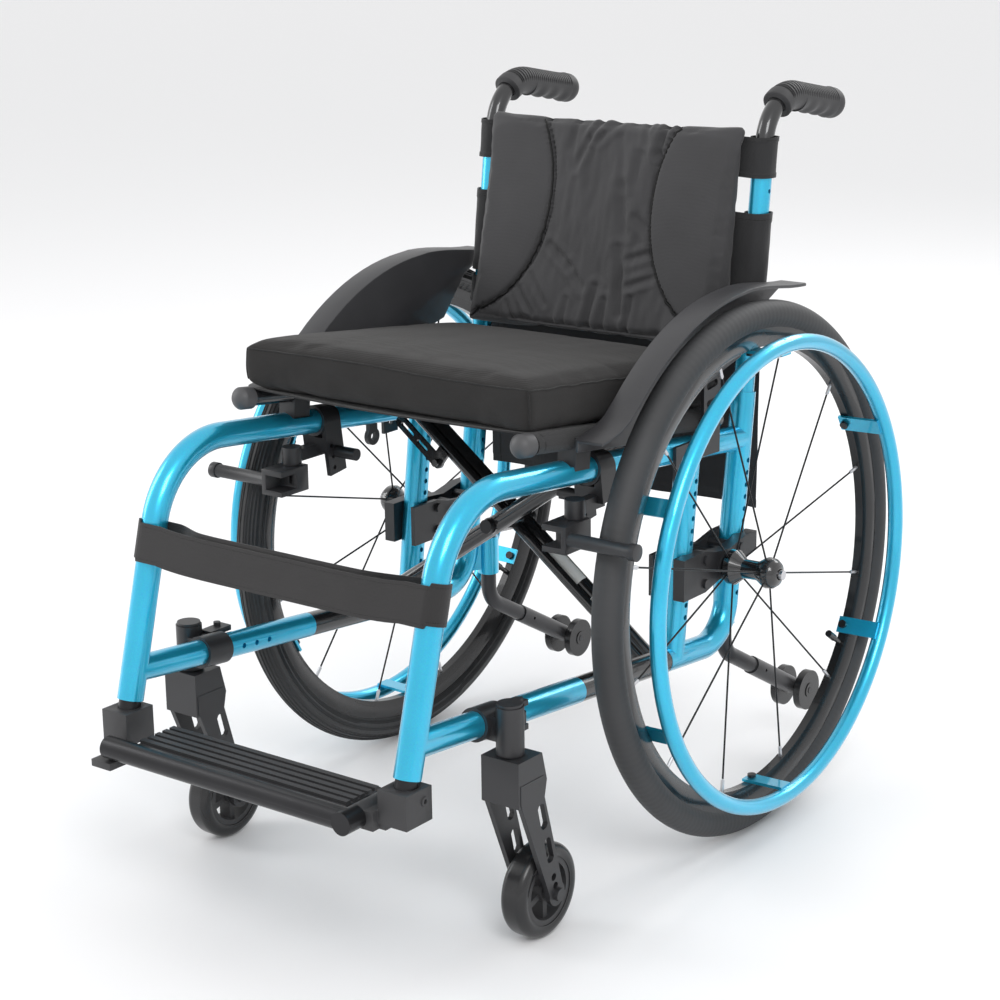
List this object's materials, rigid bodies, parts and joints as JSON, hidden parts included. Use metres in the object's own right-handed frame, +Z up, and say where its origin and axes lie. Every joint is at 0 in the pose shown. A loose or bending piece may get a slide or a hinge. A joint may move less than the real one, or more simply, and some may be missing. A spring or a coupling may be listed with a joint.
{
  "type": "manual wheelchair",
  "caption": "Folding self-propelled manual wheelchair with cross-brace frame, padded seat and back, side guards, swivel casters and flip-up footplate.",
  "frame": {"origin": "on the floor, half-way along and half-way across the chair", "axes": "+Z up, -Y is the way the user faces, +X is the user left side"},
  "size_m": [0.6178, 0.9069, 0.832],
  "materials": {
    "frame_blue": "metallic gloss",
    "black_anodised": "satin anodised",
    "black_moulded": "fine grain",
    "black_painted": "satin powder coat",
    "caster_rubber": "smooth",
    "bright_steel": "polished",
    "tyre_rubber": "ribbed",
    "black_steel": "black satin",
    "black_gloss": "gloss",
    "grey_anodised": "satin anodised",
    "grip_rubber": "matt",
    "black_gloss_paint": "gloss",
    "grey_moulded": "fine grain",
    "seat_webbing": "woven",
    "cushion_cloth": "woven",
    "back_cloth": "fine woven",
    "strap_webbing": "woven"
  },
  "bodies": {
    "left_frame": {"left_side_frame": "frame_blue", "left_leg_extension": "black_anodised", "left_footrest_clamp": "black_moulded", "left_caster_housing": "black_painted", "left_tube_fittings": "black_moulded", "left_brake_mount": "black_painted", "left_axle_bracket": "black_painted", "left_axle_pin": "bright_steel", "left_guard_bracket": "black_painted", "left_side_guard": "black_moulded", "left_back_post": "frame_blue", "left_push_grip": "grip_rubber", "back_upholstery": "back_cloth", "back_flap": "back_cloth", "calf_strap": "strap_webbing"},
    "right_frame": {"right_side_frame": "frame_blue", "right_leg_extension": "black_anodised", "right_footrest_clamp": "black_moulded", "right_caster_housing": "black_painted", "right_tube_fittings": "black_moulded", "right_brake_mount": "black_painted", "right_axle_bracket": "black_painted", "right_axle_pin": "bright_steel", "right_guard_bracket": "black_painted", "right_side_guard": "black_moulded", "right_back_post": "frame_blue", "right_push_grip": "grip_rubber"},
    "brace_a": {"brace_a": "black_gloss_paint", "brace_bolt": "black_steel", "right_rail_cap": "grey_moulded"},
    "brace_b": {"brace_b": "black_gloss_paint", "left_rail_cap": "grey_moulded"},
    "seat_deck": {"seat_sling": "seat_webbing", "seat_cushion": "cushion_cloth"},
    "footplate": {"footplate_tube": "black_anodised", "footplate_tread": "black_moulded"},
    "left_wheel": {"left_tyre": "tyre_rubber", "left_rim": "black_anodised", "left_spokes": "black_steel", "left_hub": "black_gloss", "left_handrim": "frame_blue"},
    "left_button": {"left_axle_button": "bright_steel"},
    "left_caster_fork": {"left_caster_fork": "black_painted"},
    "left_caster_wheel": {"left_caster_tyre": "caster_rubber", "left_caster_hub": "black_moulded"},
    "left_brake": {"left_brake_lever": "black_painted"},
    "left_antitip": {"left_antitip_tube": "grey_anodised"},
    "left_antitip_wheels": {"left_antitip_wheels": "caster_rubber"},
    "right_wheel": {"right_tyre": "tyre_rubber", "right_rim": "black_anodised", "right_spokes": "black_steel", "right_hub": "black_gloss", "right_handrim": "frame_blue"},
    "right_button": {"right_axle_button": "bright_steel"},
    "right_caster_fork": {"right_caster_fork": "black_painted"},
    "right_caster_wheel": {"right_caster_tyre": "caster_rubber", "right_caster_hub": "black_moulded"},
    "right_brake": {"right_brake_lever": "black_painted"},
    "right_antitip": {"right_antitip_tube": "grey_anodised"},
    "right_antitip_wheels": {"right_antitip_wheels": "caster_rubber"}
  },
  "joints": [
    {"name": "fold", "type": "hinge", "parent": "left_frame", "child": "brace_a", "pos_m": [0.19, 0.0125, 0.21549], "axis": [0, 0.9954, -0.0958], "range_deg": [0, 34], "deforming": ["back_upholstery", "back_flap", "calf_strap", "seat_cushion", "seat_sling"]},
    {"name": "brace_cross", "type": "hinge", "parent": "brace_a", "child": "brace_b", "pos_m": [0, 0.02547, 0.35015], "axis": [0, 0.9954, -0.0958], "range_deg": [-68, 0]},
    {"name": "right_frame_pivot", "type": "hinge", "parent": "brace_b", "child": "right_frame", "pos_m": [-0.19, 0.0125, 0.21549], "axis": [0, 0.9954, -0.0958], "range_deg": [0, 34]},
    {"name": "seat_deck_level", "type": "hinge", "parent": "brace_a", "child": "seat_deck", "pos_m": [-0.19, 0.03843, 0.4848], "axis": [0, 0.9954, -0.0958], "range_deg": [-34, 0]},
    {"name": "footplate_flip", "type": "hinge", "parent": "left_frame", "child": "footplate", "pos_m": [0.152, -0.4415, 0.186], "axis": [0, 1, 0], "range_deg": [0, 92]},
    {"name": "left_wheel_spin", "type": "hinge", "parent": "left_frame", "child": "left_wheel", "pos_m": [0.249, 0.1485, 0.30493], "axis": [0.9997, 0, 0.0227], "continuous": true},
    {"name": "left_axle_button_push", "type": "slide", "parent": "left_frame", "child": "left_button", "axis": [-0.9997, 0, -0.0227], "range_m": [0, 0.003], "stiffness_N_per_m": 300, "springref_m": -0.001},
    {"name": "left_caster_swivel", "type": "hinge", "parent": "left_frame", "child": "left_caster_fork", "pos_m": [0.222, -0.2725, 0.216], "axis": [0, 0, 1], "continuous": true},
    {"name": "left_caster_spin", "type": "hinge", "parent": "left_caster_fork", "child": "left_caster_wheel", "pos_m": [0.222, -0.2265, 0.051], "axis": [1, 0, 0], "continuous": true},
    {"name": "left_brake_swing", "type": "hinge", "parent": "left_frame", "child": "left_brake", "pos_m": [0.196, -0.1215, 0.40693], "axis": [0, 0, -1], "range_deg": [0, 70]},
    {"name": "left_antitip_swing", "type": "hinge", "parent": "left_frame", "child": "left_antitip", "pos_m": [0.174, 0.2145, 0.24], "axis": [0, 0, 1], "range_deg": [0, 180]},
    {"name": "left_antitip_spin", "type": "hinge", "parent": "left_antitip", "child": "left_antitip_wheels", "pos_m": [0.174, 0.3885, 0.076], "axis": [1, 0, 0], "continuous": true},
    {"name": "right_wheel_spin", "type": "hinge", "parent": "right_frame", "child": "right_wheel", "pos_m": [-0.249, 0.1485, 0.30493], "axis": [-0.9997, 0, 0.0227], "continuous": true},
    {"name": "right_axle_button_push", "type": "slide", "parent": "right_frame", "child": "right_button", "axis": [0.9997, 0, -0.0227], "range_m": [0, 0.003], "stiffness_N_per_m": 300, "springref_m": -0.001},
    {"name": "right_caster_swivel", "type": "hinge", "parent": "right_frame", "child": "right_caster_fork", "pos_m": [-0.222, -0.2725, 0.216], "axis": [0, 0, 1], "continuous": true},
    {"name": "right_caster_spin", "type": "hinge", "parent": "right_caster_fork", "child": "right_caster_wheel", "pos_m": [-0.222, -0.2265, 0.051], "axis": [1, 0, 0], "continuous": true},
    {"name": "right_brake_swing", "type": "hinge", "parent": "right_frame", "child": "right_brake", "pos_m": [-0.196, -0.1215, 0.40693], "axis": [0, 0, 1], "range_deg": [0, 70]},
    {"name": "right_antitip_swing", "type": "hinge", "parent": "right_frame", "child": "right_antitip", "pos_m": [-0.174, 0.2145, 0.24], "axis": [0, 0, -1], "range_deg": [0, 180]},
    {"name": "right_antitip_spin", "type": "hinge", "parent": "right_antitip", "child": "right_antitip_wheels", "pos_m": [-0.174, 0.3885, 0.076], "axis": [1, 0, 0], "continuous": true}
  ],
  "couplings": [
    {"joint": "brace_cross", "follows": "fold", "ratio": -2},
    {"joint": "right_frame_pivot", "follows": "fold", "ratio": 1},
    {"joint": "seat_deck_level", "follows": "fold", "ratio": -1},
    {"joint": "footplate_flip", "follows": "fold", "ratio": 2.7}
  ]
}
